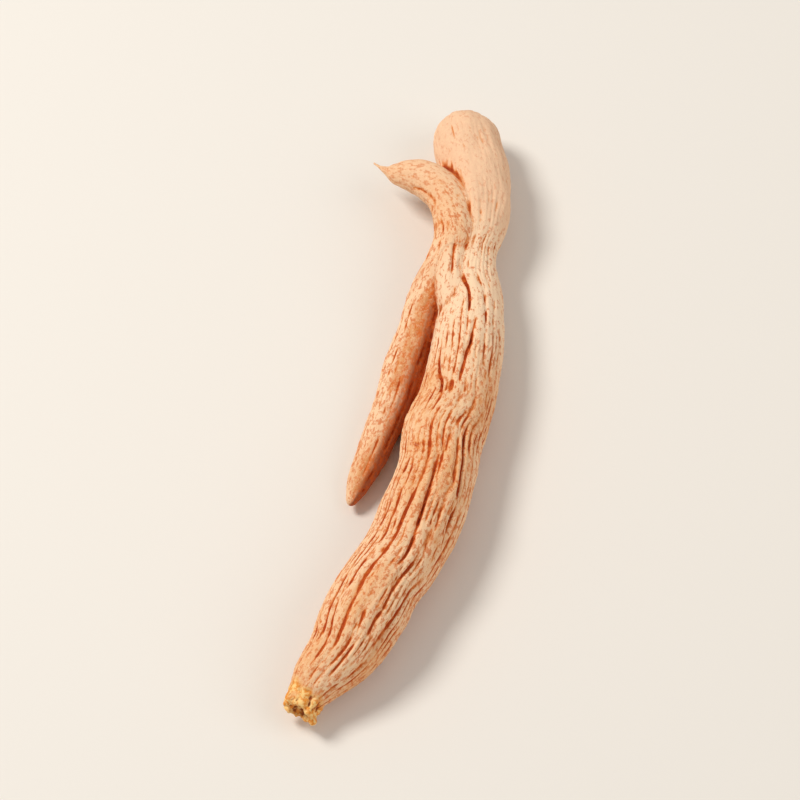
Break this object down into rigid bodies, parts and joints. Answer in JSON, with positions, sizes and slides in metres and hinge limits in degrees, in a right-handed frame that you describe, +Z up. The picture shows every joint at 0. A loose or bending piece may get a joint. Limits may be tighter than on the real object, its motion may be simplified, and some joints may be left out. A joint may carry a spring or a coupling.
{
  "type": "dried pseudostellaria root",
  "caption": "Slender dried root lying on its side: wrinkled bowed body with a stem scar, a blunt lobe past a narrow neck, a hooked tail and a side rootlet laid back along the body.",
  "frame": {"origin": "middle of the root's footprint, on the surface that it lies on", "axes": "+Z up, +Y along the root from the crown with its stem scar towards the blunt lobe, +X towards the side that the body bows to"},
  "size_m": [0.014, 0.0462, 0.0051],
  "materials": {
    "dried_skin": "matt, powdery and wrinkled, cream on the ridges and orange brown in the grooves"
  },
  "bodies": {
    "root": {"dried_root": "dried_skin"}
  },
  "joints": []
}
